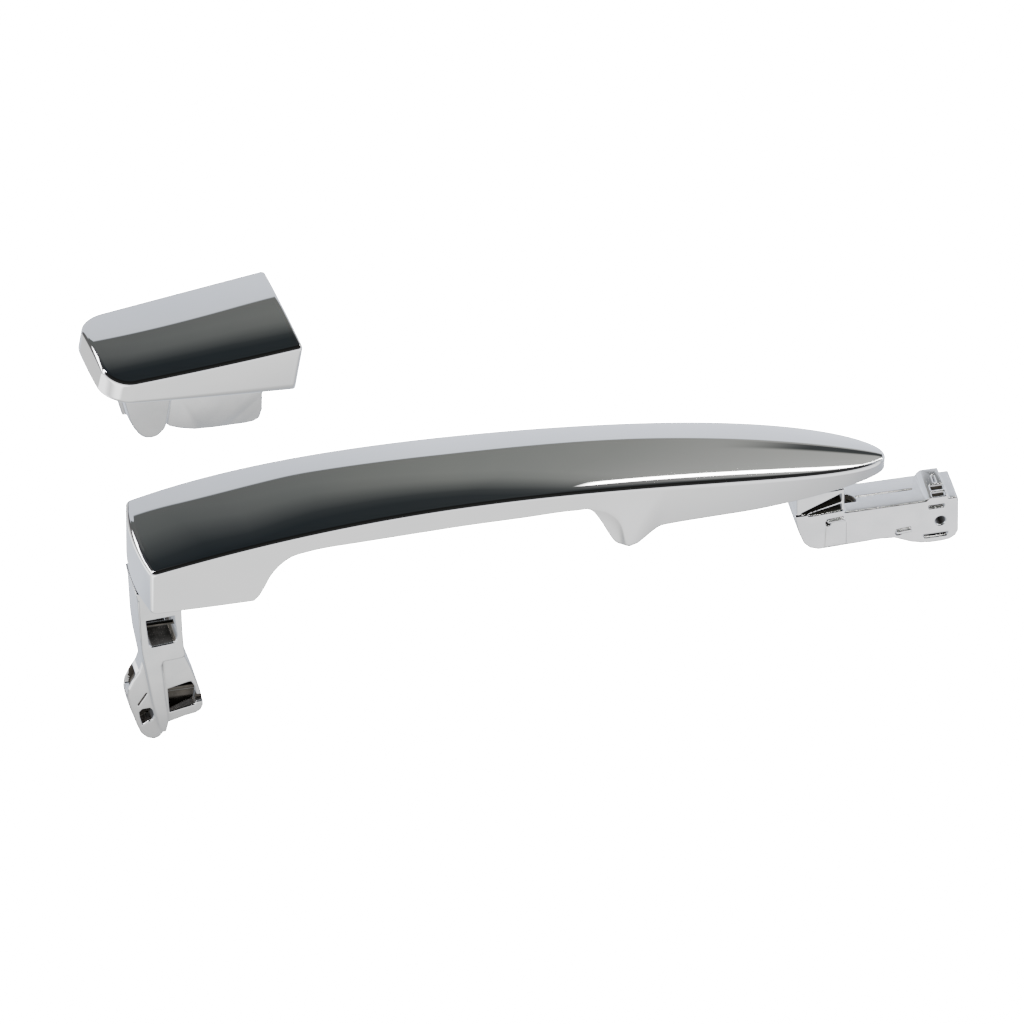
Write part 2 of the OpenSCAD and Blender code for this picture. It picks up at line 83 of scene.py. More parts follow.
# ---------------------------------------------------------------- camera
def make_camera():
    """A long lens from the front left and above, close to a parallel view."""
    right = Vector((0.9757, -0.2190, 0.0)).normalized()
    back = Vector((-0.1711, -0.7625, 0.6239)).normalized()
    right = (right - back * right.dot(back)).normalized()
    up = back.cross(right)
    target = Vector(to_row([(110.5, 0, 4.67)])[0])
    distance, pixels_per_metre, frame_width = 10.0, 3450.0, 1024
    data = bpy.data.cameras.new("camera")
    data.sensor_width = 36.0
    data.lens = data.sensor_width * pixels_per_metre * distance / frame_width
    data.clip_start, data.clip_end = 0.05, 60.0
    cam = bpy.data.objects.new("camera", data)
    axes = Matrix((right, up, back)).transposed().to_4x4()
    cam.matrix_world = Matrix.Translation(target + back * distance) @ axes
    scene.collection.objects.link(cam)
    scene.camera = cam


make_camera()


# ---------------------------------------------------------------- materials
def material(name):
    m = bpy.data.materials.new(name)
    m.use_nodes = True
    nt = m.node_tree
    nt.nodes.clear()
    out = nt.nodes.new("ShaderNodeOutputMaterial")
    bsdf = nt.nodes.new("ShaderNodeBsdfPrincipled")
    nt.links.new(bsdf.outputs[0], out.inputs[0])
    return m, nt, bsdf


def noise(nt, scale, detail=4.0, stretch=(1, 1, 1), rough=0.5):
    """Noise in the object's own metres, with a scale in features per metre."""
    coord = nt.nodes.new("ShaderNodeTexCoord")
    mapping = nt.nodes.new("ShaderNodeMapping")
    mapping.inputs["Scale"].default_value = stretch
    tex = nt.nodes.new("ShaderNodeTexNoise")
    tex.inputs["Scale"].default_value = scale
    tex.inputs["Detail"].default_value = detail
    tex.inputs["Roughness"].default_value = rough
    nt.links.new(coord.outputs["Object"], mapping.inputs["Vector"])
    nt.links.new(mapping.outputs[0], tex.inputs["Vector"])
    return tex.outputs["Fac"]


def spread(nt, value, src, dst):
    r = nt.nodes.new("ShaderNodeMapRange")
    r.interpolation_type = "SMOOTHSTEP"
    r.inputs["From Min"].default_value, r.inputs["From Max"].default_value = src
    r.inputs["To Min"].default_value, r.inputs["To Max"].default_value = dst
    nt.links.new(value, r.inputs["Value"])
    return r.outputs[0]


def mixed(nt, fac, a, b, how="MIX"):
    """Two colours mixed; each of fac, a and b is a number, a colour or a socket."""
    m = nt.nodes.new("ShaderNodeMixRGB")
    m.blend_type = how
    for i, v in enumerate((fac, a, b)):
        if isinstance(v, (int, float)):
            m.inputs[i].default_value = v if i == 0 else (v, v, v, 1)
        elif isinstance(v, tuple):
            m.inputs[i].default_value = (*v, 1)
        else:
            nt.links.new(v, m.inputs[i])
    return m.outputs[0]


def surface(name, light, dark, rough, metallic, tone_scale=60, bump=None, stretch=(1, 1, 1), edge=0.0,
            corner=None):
    """A procedural surface of two tones and uneven gloss.

    bump is a fine relief of (scale, height), edge is a rounded edge's radius in metres, and corner is
    (reach in metres, darkness) for the shade in corners."""
    m, nt, bsdf = material(name)
    bsdf.inputs["Metallic"].default_value = metallic
    tone = noise(nt, tone_scale, 5.0, stretch)
    colour = mixed(nt, spread(nt, tone, (0.35, 0.7), (0, 1)), light, dark)
    if corner:
        ao = nt.nodes.new("ShaderNodeAmbientOcclusion")
        ao.samples = 8
        ao.inputs["Distance"].default_value = corner[0]
        shade = spread(nt, ao.outputs["AO"], (0.1, 0.85), (corner[1], 1.0))
        colour = mixed(nt, 1.0, colour, shade, "MULTIPLY")
    nt.links.new(colour, bsdf.inputs["Base Color"])
    gloss = noise(nt, tone_scale * 2.3, 6.0, stretch, 0.6)
    nt.links.new(spread(nt, gloss, (0.3, 0.75), rough), bsdf.inputs["Roughness"])
    normal = None
    if bump:
        b = nt.nodes.new("ShaderNodeBump")
        b.inputs["Strength"].default_value = 1.0
        b.inputs["Distance"].default_value = bump[1]
        nt.links.new(noise(nt, bump[0], 2.0, stretch), b.inputs["Height"])
        normal = b
    if edge:
        bev = nt.nodes.new("ShaderNodeBevel")
        bev.samples = 6
        bev.inputs["Radius"].default_value = edge
        if normal:
            nt.links.new(bev.outputs[0], normal.inputs["Normal"])
        else:
            normal = bev
    if normal:
        nt.links.new(normal.outputs[0], bsdf.inputs["Normal"])
    return m


CHROME = surface("chrome_polished", (0.87, 0.875, 0.88), (0.84, 0.85, 0.86), (0.008, 0.03), 1.0, 45)
MOULD = surface("chrome_on_moulding", (0.80, 0.805, 0.815), (0.73, 0.74, 0.755), (0.16, 0.19), 1.0, 120,
                (420, 0.000004), corner=(0.004, 0.2))
# Dark material for the walls of pockets: painted shade, standing in for the shade deep in the recesses
POCKET_SHADE = surface("painted_shade_in_pockets", (0.11, 0.101, 0.09), (0.06, 0.056, 0.05), (0.15, 0.3), 1.0, 200,
                 (700, 0.00001), corner=(0.006, 0.15))
PLATE = surface("plated_inner_moulding", (0.66, 0.665, 0.675), (0.58, 0.585, 0.6), (0.28, 0.42), 1.0, 90,
                (500, 0.00002))
CORE = surface("glass_filled_plastic", (0.035, 0.036, 0.038), (0.06, 0.06, 0.062), (0.45, 0.7), 0.0, 260,
               (1800, 0.00003), (0.4, 1, 1))
STEEL = surface("zinc_plated_steel", (0.55, 0.56, 0.57), (0.42, 0.43, 0.44), (0.22, 0.42), 1.0, 500,
                (1500, 0.00001), edge=0.00015)
BRASS = surface("turned_brass", (0.78, 0.6, 0.27), (0.62, 0.45, 0.18), (0.2, 0.38), 1.0, 600,
                (2500, 0.00001), (6, 1, 1), edge=0.00015)


# ---------------------------------------------------------------- grip shape
# Lower edge of the sides as (x, z): rear foot, finger gap, heel, and front foot to the tip
LOW = [(-5, 0), (30, 0), (32.5, 3.2), (35, 8.4), (40, 13.5), (46, 15.1), (60, 15.6), (88, 15.6),
       (110, 15.15), (126, 14.8), (129.6, 14.2), (131, 13.1), (133.75, 8.1), (136.4, 2.1), (138.3, -1.7),
       (139.8, -3.2), (141.5, -3.3), (143.2, -3.6), (144.8, -3.6), (147.4, -2.6), (150, -1.1), (152.2, 0),
       (155.7, 0.3), (165, 0.4), (180, 0.2), (200, 0.9), (221, 2)]
# Height of the crease on the side where the finger gap's front end rolls inwards
CREASE = [(100, 16), (126, 15.7), (129.5, 15.5), (130.8, 14.8), (133.1, 13.9), (135.3, 12.65), (136.7, 11.35),
          (138.2, 9.5), (139.75, 6.1), (140.5, 2.85), (141, 0), (142, -3), (143.5, -7), (146, -20)]
TIP = 221.4
CROWN, CROWN_HALF, EDGE_R, WALL, BOW = 2.5, 18, 1.5, 2.4, 2.5
INNER_WALL, GAP = 2.2, 0.2
# How deep the side rolls in under the crease, and how quickly it gets there
ROLL_DEPTH, ROLL_RATE = 4, 0.105
# Radius of the corners between the sides and the flat end, in plan
CORNER_R = 1.7
# Rings over the rounded edge and over the face, counted from where they start
EDGE_RINGS, FACE_RINGS = 11, 29


def knots(x, k):
    """A smooth curve through the knots, flat at each peak and valley."""
    kx, kz = np.array([a for a, _ in k], float), np.array([b for _, b in k], float)
    chord = np.diff(kz) / np.diff(kx)
    m = np.concatenate([[chord[0]], (chord[:-1] + chord[1:]) / 2, [chord[-1]]])
    m[1:-1][chord[:-1] * chord[1:] <= 0] = 0
    x = np.asarray(x, float)
    i = np.clip(np.searchsorted(kx, x, side="right") - 1, 0, len(kx) - 2)
    d = kx[i + 1] - kx[i]
    t = (x - kx[i]) / d
    return ((2 * t**3 - 3 * t**2 + 1) * kz[i] + (t**3 - 2 * t**2 + t) * m[i] * d
            + (3 * t**2 - 2 * t**3) * kz[i + 1] + (t**3 - t**2) * m[i + 1] * d)


def ease(t):
    c = np.clip(t, 0, 1)
    return c * c * (3 - 2 * c)


def half(x):
    """Half width of the grip."""
    s = np.asarray(x, float) / 222
    return np.sqrt(np.maximum(0.05, 319.12 + 428.37 * s - 2528.97 * s**2 + 4157.41 * s**3 - 2380.06 * s**4))


def edge_top(x):
    """Height of the face at its side edges."""
    s = np.asarray(x, float) / 100
    return 14.572 + 23.518 * s - 21.325 * s**2 + 7.087 * s**3 - 1.332 * s**4


def low(x):
    return knots(x, LOW)


def inset(x):
    """How far the sides lean in at their lower edge, towards the tip."""
    return 0.33 * half(x) * ease((np.asarray(x, float) - 132) / 22)


def rolled_in(x, z):
    """How far the side wall is pushed in under the crease at the front of the finger gap."""
    x = np.asarray(x, float)
    under = knots(np.clip(x, 100, 146), CREASE) - z
    reach = ease((x - 126.5) / 4) * (x < 145)
    soft = 0.5 * (under + np.sqrt(under**2 + 0.25)) - 0.02
    return ROLL_DEPTH * (1 - np.exp(-ROLL_RATE * np.where(reach > 0, soft, 0) * reach))


def loop_mesh(name, rings):
    n = len(rings[0])
    verts = np.concatenate(rings)
    faces = []
    for i in range(len(rings) - 1):
        a, b = i * n, (i + 1) * n
        for j in range(n):
            k = (j + 1) % n
            faces.append((a + j, a + k, b + k, b + j))
    me = bpy.data.meshes.new(name)
    me.from_pydata(verts.tolist(), [], faces)
    me.validate()
    me.update()
    return me


def grip_outline():
    """Plan outline of the grip: rear corner, side to the tip, other side, bowed rear end."""
    t = np.linspace(0, 1, 130)[1:]
    x = np.concatenate([np.linspace(CORNER_R, 126, 80), np.linspace(126, 150, 81)[1:],
                        150 + (TIP - 150) * (1 - (1 - t) ** 2)])
    y = half(x)
    y[-1] = 0
    side = np.stack([x, -y], 1)
    other = np.stack([x[::-1], y[::-1]], 1)[1:]
    h0 = float(half(CORNER_R))
    yc = h0 - CORNER_R
    a = np.radians(np.linspace(0, 90, 9))[1:-1]

    def rear(yy):
        return -BOW * np.maximum(0, 1 - (yy / h0) ** 2)

    up = np.stack([CORNER_R - (CORNER_R - rear(yc)) * np.sin(a), yc + CORNER_R * np.cos(a)], 1)
    ye = np.linspace(yc, -yc, 61)
    end = np.stack([rear(ye), ye], 1)
    down = np.stack([up[::-1, 0], -up[::-1, 1]], 1)
    return np.concatenate([side, other, up, end, down])


def inward_normals(p):
    d = np.roll(p, -1, 0) - np.roll(p, 1, 0)
    n = np.stack([-d[:, 1], d[:, 0]], 1)
    n /= np.maximum(1e-9, np.linalg.norm(n, axis=1))[:, None]
    for _ in range(2):
        n = (np.roll(n, 1, 0) + 2 * n + np.roll(n, -1, 0)) / 4
    return n / np.linalg.norm(n, axis=1)[:, None]


def shell_rings(p, spine, height, bottom, drawn, push, r, wall, slope, rim=0.35, rows=26):
    """Rings from the inside spine, over the rim and the rounded edge, to the outside spine."""
    nrm = inward_normals(p)

    def at(d):
        return p + nrm * np.broadcast_to(d, len(p))[:, None]

    def ring(d, z):
        return np.column_stack([at(d), np.broadcast_to(z, len(p))])

    # the edge's arc stops where it has the face's own slope, so the two meet without a kink
    last = math.pi / 2 - np.arctan(slope)
    q0 = at(r * (1 - np.cos(last)))
    z_edge = height(q0[:, 0], q0[:, 1]) - r * np.sin(last)
    outer = [ring(drawn + push(bottom) + rim, bottom),
             ring(drawn + push(bottom) + rim * 0.3, bottom + rim * 0.3)]
    for f in np.linspace(0.0, 1, rows):
        z = bottom + rim + (z_edge - bottom - rim) * f
        outer.append(ring(drawn * (1 - f) + push(z), z))
    for t in np.linspace(0, 1, EDGE_RINGS + 1)[1:]:
        a = t * last
        outer.append(np.column_stack([at(r * (1 - np.cos(a))), z_edge + r * np.sin(a)]))
    for t in np.linspace(0, 1, FACE_RINGS + 1)[1:]:
        q = q0 + (spine - q0) * t
        outer.append(np.column_stack([q, height(q[:, 0], q[:, 1])]))
    inner = [ring(drawn + push(bottom) + wall, bottom)]
    qi = at(wall)
    zi = np.maximum(height(qi[:, 0], qi[:, 1]) - wall - 0.6, bottom + 0.4)
    for f in (0.4, 1.0):
        z = bottom + (zi - bottom) * f
        inner.append(ring((drawn * (1 - f) + push(z)) + wall, z))
    for t in (0.15, 0.4, 0.7, 1.0):
        q = qi + (spine - qi) * t
        inner.append(np.column_stack([q, np.maximum(height(q[:, 0], q[:, 1]) - wall, bottom + 0.5)]))
    # the second result is the index of the face's first ring
    return inner[::-1] + outer, len(inner) + len(outer) - FACE_RINGS


def register(ob, body, replaces, mats):
    """Puts a piece in the scene; pieces don't show in each other's reflections."""
    scene.collection.objects.link(ob)
    ob.visible_glossy = False
    for m in mats:
        ob.data.materials.append(m)
    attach(ob, body)
    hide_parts(replaces)
    return ob


def face_normals(rings, first, height, turned):
    """Normals from the face's own height for the rings from first on, and zero before them."""
    out = []
    for i, q in enumerate(rings):
        if i < first:
            out.append(np.zeros_like(q))
            continue
        x, y = q[:, 0], q[:, 1]
        n = np.column_stack([(height(x - 0.2, y) - height(x + 0.2, y)) / 0.4,
                             (height(x, y - 0.2) - height(x, y + 0.2)) / 0.4, np.ones(len(q))])
        n /= np.linalg.norm(n, axis=1)[:, None]
        out.append(n if turned is None else n @ turned.T)
    return np.concatenate(out)


def skin(name, rings, first, height, place, body, replaces, turned=None):
    """A plated shell from its rings, whose face takes its normals from the height formula."""
    me = loop_mesh(name, [place(r) for r in rings])
    facing = me.attributes.new("facing", "FLOAT_VECTOR", "POINT")
    facing.data.foreach_set("vector", face_normals(rings, first, height, turned).ravel())
    bm = bmesh.new()
    bm.from_mesh(me)
    bmesh.ops.remove_doubles(bm, verts=bm.verts, dist=1e-7)
    bmesh.ops.recalc_face_normals(bm, faces=bm.faces)
    bm.to_mesh(me)
    bm.free()
    me.polygons.foreach_set("use_smooth", np.ones(len(me.polygons), bool))
    n = len(me.vertices) * 3
    known, plain = np.empty(n, np.float32), np.empty(n, np.float32)
    me.attributes["facing"].data.foreach_get("vector", known)
    me.vertex_normals.foreach_get("vector", plain)
    known, plain = known.reshape(-1, 3), plain.reshape(-1, 3)
    use = np.where((np.linalg.norm(known, axis=1) > 0.5)[:, None], known, plain)
    me.attributes.remove(me.attributes["facing"])
    me.normals_split_custom_set_from_vertices(use.tolist())
    return register(bpy.data.objects.new(name, me), body, replaces, [CHROME])


def rear_fade(x):
    """The grip's crown is half as high at the rear end."""
    return 0.5 + 0.5 * ease(x / 90)


def make_grip():
    p = grip_outline()
    x = np.clip(p[:, 0], 0, TIP)
    near_end = p[:, 0] < 2.5
    spine = np.column_stack([np.clip(p[:, 0], 16, 216), np.zeros(len(p))])

    def height(a, b):
        a = np.clip(a, 0, TIP - 0.5)
        h = half(a)
        rise = CROWN * h / CROWN_HALF * rear_fade(a)
        return edge_top(a) + rise * (1 - np.clip(np.abs(b) / h, 0, 1) ** 2)

    bottom, drawn = np.where(near_end, 0, low(x)), np.where(near_end, 0, inset(x))
    slope = CROWN / (CROWN_HALF / 2) * rear_fade(x)
    rings, first = shell_rings(p, spine, height, bottom, drawn, lambda z: rolled_in(x, z), EDGE_R, WALL,
                               slope)
    return skin("grip_shell", rings, first, height, to_row, "handle", "grip_outer_shell")


make_grip()

# ---------------------------------------------------------------- cap shape
# Length, half width at the mating end, radius of the closed end's corners, crown, and the bows of the ends
CAP_L, CAP_H, CAP_C, CAP_CROWN, CAP_HOLLOW, CAP_BULGE = 58.2, 17.95, 8.6, 2.8, 1.2, 0.8


def cap_half(x):
    x = np.asarray(x, float)
    return CAP_H + 0.034 * x - 0.0003 * x * (x + CAP_L)


def cap_top(x):
    x = np.asarray(x, float)
    return 15.85 + 0.1787 * x + 0.0002 * x * x


def cap_outline():
    """Plan outline of the cap, with X = 0 at the mating end and the closed end at -CAP_L."""
    yc = CAP_H - CORNER_R
    a = np.radians(np.linspace(90, 0, 9))
    up = np.stack([-CORNER_R * (1 - np.sin(a)), yc + CORNER_R * np.cos(a)], 1)
    k = CAP_C - CAP_L
    x = np.linspace(up[-1, 0], k, 90)[1:]
    side = np.stack([x, cap_half(x)], 1)
    he = float(cap_half(k))
    b = np.radians(np.linspace(0, 90, 28))[1:]
    corner_end = np.stack([k - CAP_C * np.sin(b), he - CAP_C + CAP_C * np.cos(b)], 1)
    ye = np.linspace(he - CAP_C, -(he - CAP_C), 24)[1:-1]
    end = np.stack([np.full(len(ye), -CAP_L), ye], 1)
    half_loop = np.concatenate([up, side, corner_end])
    ym = np.linspace(-yc, yc, 61)[1:-1]
    mate = np.stack([np.zeros(len(ym)), ym], 1)
    p = np.concatenate([half_loop, end, half_loop[::-1] * (1, -1), mate])
    bow = np.maximum(0, 1 - (p[:, 1] / CAP_H) ** 2)
    p[:, 0] -= bow * (CAP_HOLLOW * np.clip(1 + p[:, 0] / 45, 0, 1) ** 2
                      + CAP_BULGE * np.clip((-p[:, 0] - 20) / (CAP_L - 20), 0, 1) ** 2)
    return p


def make_cap():
    p = cap_outline()
    spine = np.column_stack([np.clip(p[:, 0], -43, -12), np.zeros(len(p))])

    def height(a, b):
        a = np.clip(a, -CAP_L - CAP_BULGE, 0)
        h = cap_half(a)
        return cap_top(a) + CAP_CROWN * h / CROWN_HALF * (1 - np.clip(np.abs(b) / h, 0, 1) ** 2)

    zero = np.zeros(len(p))
    slope = zero + CAP_CROWN / (CROWN_HALF / 2)
    rings, first = shell_rings(p, spine, height, zero, zero, lambda z: 0 * z, EDGE_R, WALL, slope, rows=8)
    return skin("cap_skin", rings, first, height, cap_to_row, "cap", "cap_shell", CAP_TURN_M)


make_cap()


# ---------------------------------------------------------------- moulded pieces
# Each one is a solid described by signed distances on a grid, joined and cut with small fillets,
# and turned into a mesh by surface nets. Normals come from the distances, so flats stay flat.
FLAT_ANGLE = math.radians(0.7)


class Solid:
    def __init__(self, lo, hi, step):
        self.lo, self.step = np.array(lo, float), step
        n = np.ceil((np.array(hi, float) - self.lo) / step).astype(int) + 1
        self.x, self.y, self.z = (self.lo[i] + step * np.arange(n[i]) for i in range(3))
        self.f = np.full(n, 1e3)
        self.deep = []

    def outline(self, pts, plane="xz"):
        """Signed distance to a closed polygon, negative inside, over two of the axes."""
        u, v = {"xz": (self.x, self.z), "xy": (self.x, self.y), "yz": (self.y, self.z)}[plane]
        U, V = np.meshgrid(u, v, indexing="ij")
        p = np.array(pts, float)
        q = np.roll(p, -1, 0)
        dist = np.full(U.shape, 1e9)
        inside = np.zeros(U.shape, bool)
        for (ax, ay), (bx, by) in zip(p, q):
            ex, ey = bx - ax, by - ay
            t = np.clip(((U - ax) * ex + (V - ay) * ey) / (ex * ex + ey * ey), 0, 1)
            dist = np.minimum(dist, np.hypot(U - ax - t * ex, V - ay - t * ey))
            if ay != by:
                inside ^= ((ay > V) != (by > V)) & (U < ex * (V - ay) / ey + ax)
        return np.where(inside, -dist, dist)

    def prism(self, d2, lo, hi, r, plane="xz"):
        """A flat outline's distance, carried along the third axis from lo to hi, with edges of radius r."""
        axis = {"xz": 1, "xy": 2, "yz": 0}[plane]
        w = (self.x, self.y, self.z)[axis]
        a = np.expand_dims(d2, axis) + r
        shape = [1, 1, 1]
        shape[axis] = -1
        b = (np.abs(w - (lo + hi) / 2) - (hi - lo) / 2).reshape(shape) + r
        return np.minimum(np.maximum(a, b), 0) + np.hypot(np.maximum(a, 0), np.maximum(b, 0)) - r

    def across(self, pts, lo, hi, r=0.45, plane="xz"):
        return self.prism(self.outline(pts, plane), lo, hi, r, plane)

    def rod(self, centre, radius, lo, hi, r=0.1, plane="xz"):
        u, v = {"xz": (self.x, self.z), "xy": (self.x, self.y), "yz": (self.y, self.z)}[plane]
        U, V = np.meshgrid(u, v, indexing="ij")
        return self.prism(np.hypot(U - centre[0], V - centre[1]) - radius, lo, hi, r, plane)

    def add(self, d, k=0.5):
        h = np.clip(0.5 + 0.5 * (self.f - d) / k, 0, 1)
        self.f = self.f * (1 - h) + d * h - k * h * (1 - h)

    def cut(self, d, k=0.3, deep=None):
        """Takes a shape away; deep is a distance past which its walls get the painted shade of the pockets.
        """
        h = np.clip(0.5 - 0.5 * (self.f + d) / k, 0, 1)
        self.f = self.f * (1 - h) - d * h + k * h * (1 - h)
        if deep is not None:
            self.deep.append((d, deep))

    def sample(self, field, p):
        g = (p - self.lo) / self.step
        i = np.clip(np.floor(g).astype(int), 0, np.array(field.shape) - 2)
        t = g - i
        out = 0
        for c in range(8):
            o = np.array([c & 1, c >> 1 & 1, c >> 2 & 1])
            w = np.prod(np.where(o, t, 1 - t), axis=1)
            j = i + o
            out = out + w * field[j[:, 0], j[:, 1], j[:, 2]]
        return out

    def mesh(self, name, place, turned=None):
        f = self.f
        n = np.array(f.shape) - 1
        corner = [f[a:a + n[0], b:b + n[1], c:c + n[2]] for a in (0, 1) for b in (0, 1) for c in (0, 1)]
        neg = [c < 0 for c in corner]
        some = np.logical_or.reduce(neg) & ~np.logical_and.reduce(neg)
        cell = np.argwhere(some)
        vals = [c[some] for c in corner]
        total, count = np.zeros((len(cell), 3)), np.zeros(len(cell))
        offs = np.array([(a, b, c) for a in (0, 1) for b in (0, 1) for c in (0, 1)], float)
        for a in range(8):
            for b in range(a + 1, 8):
                if np.abs(offs[a] - offs[b]).sum() != 1:
                    continue
                hit = (vals[a] < 0) != (vals[b] < 0)
                t = vals[a][hit] / (vals[a][hit] - vals[b][hit])
                total[hit] += offs[a] + (offs[b] - offs[a]) * t[:, None]
                count[hit] += 1
        verts = self.lo + self.step * (cell + total / count[:, None])
        index = np.full(n, -1, int)
        index[tuple(cell.T)] = np.arange(len(cell))
        faces = []
        sign = f < 0
        for ax in range(3):
            a = np.take(sign, range(n[ax]), ax)
            b = np.take(sign, range(1, n[ax] + 1), ax)
            e = np.argwhere(a != b)
            u, v = [i for i in range(3) if i != ax]
            e = e[(e[:, u] > 0) & (e[:, v] > 0) & (e[:, u] < n[u]) & (e[:, v] < n[v])]
            quad = []
            for du, dv in ((1, 1), (0, 1), (0, 0), (1, 0)):
                c = e.copy()
                c[:, u] -= du
                c[:, v] -= dv
                quad.append(index[tuple(c.T)])
            q = np.stack(quad, 1)
            flip = a[tuple(e.T)] ^ (ax == 1)
            q[~flip] = q[~flip][:, ::-1]
            faces.append(q[(q >= 0).all(1)])
        faces = np.concatenate(faces)
        me = bpy.data.meshes.new(name)
        me.from_pydata(verts.tolist(), [], faces.tolist())
        # flats go back to large faces
        bm = bmesh.new()
        bm.from_mesh(me)
        bmesh.ops.dissolve_limit(bm, angle_limit=FLAT_ANGLE, verts=bm.verts, edges=bm.edges)
        bmesh.ops.triangulate(bm, faces=[q for q in bm.faces if len(q.verts) > 4])
        bm.to_mesh(me)
        bm.free()
        co = np.empty(len(me.vertices) * 3)
        me.vertices.foreach_get("co", co)
        co = co.reshape(-1, 3)
        grad = np.stack([self.sample(g, co) for g in np.gradient(f, self.step)], 1)
        grad /= np.maximum(np.linalg.norm(grad, axis=1), 1e-9)[:, None]
        if turned is not None:
            grad = grad @ turned.T
        centre = np.empty(len(me.polygons) * 3)
        me.polygons.foreach_get("center", centre)
        centre = centre.reshape(-1, 3)
        # faces close to a deep cut get the second material, the painted shade of the pockets
        slot = np.zeros(len(centre), np.int32)
        for d, depth in self.deep:
            near = (self.sample(d, centre) < 0.3) & (centre[:, depth[0]] * depth[2] > depth[1] * depth[2])
            slot[near] = 1
        me.vertices.foreach_set("co", place(co).ravel())
        me.polygons.foreach_set("material_index", slot)
        me.polygons.foreach_set("use_smooth", np.ones(len(me.polygons), bool))
        me.update()
        me.normals_split_custom_set_from_vertices(grad.tolist())
        return me


def moulded(solid, name, body, replaces, mats, place=to_row, turned=None):
    me = solid.mesh(name, place, turned)
    return register(bpy.data.objects.new(name, me), body, replaces, mats)


def down(*pts):
    """Points given as (x, depth below the door skin)."""
    return [(a, -b) for a, b in pts]


def beam_top(x):
    return float(edge_top(x)) - 1.6


def beam_low(x):
    """Underside of the core beam, which clears the inner plate and is 4 mm deep at most."""
    highest = max(float(low(x - 2.2)), float(low(x)), float(low(x + 2.2)))
    return max(highest + INNER_WALL + 0.3, beam_top(x) - 4)


# Radii of a shell screw's hole and of the recess for its head
HOLE_R, HEAD_R = 1.6, 3.05


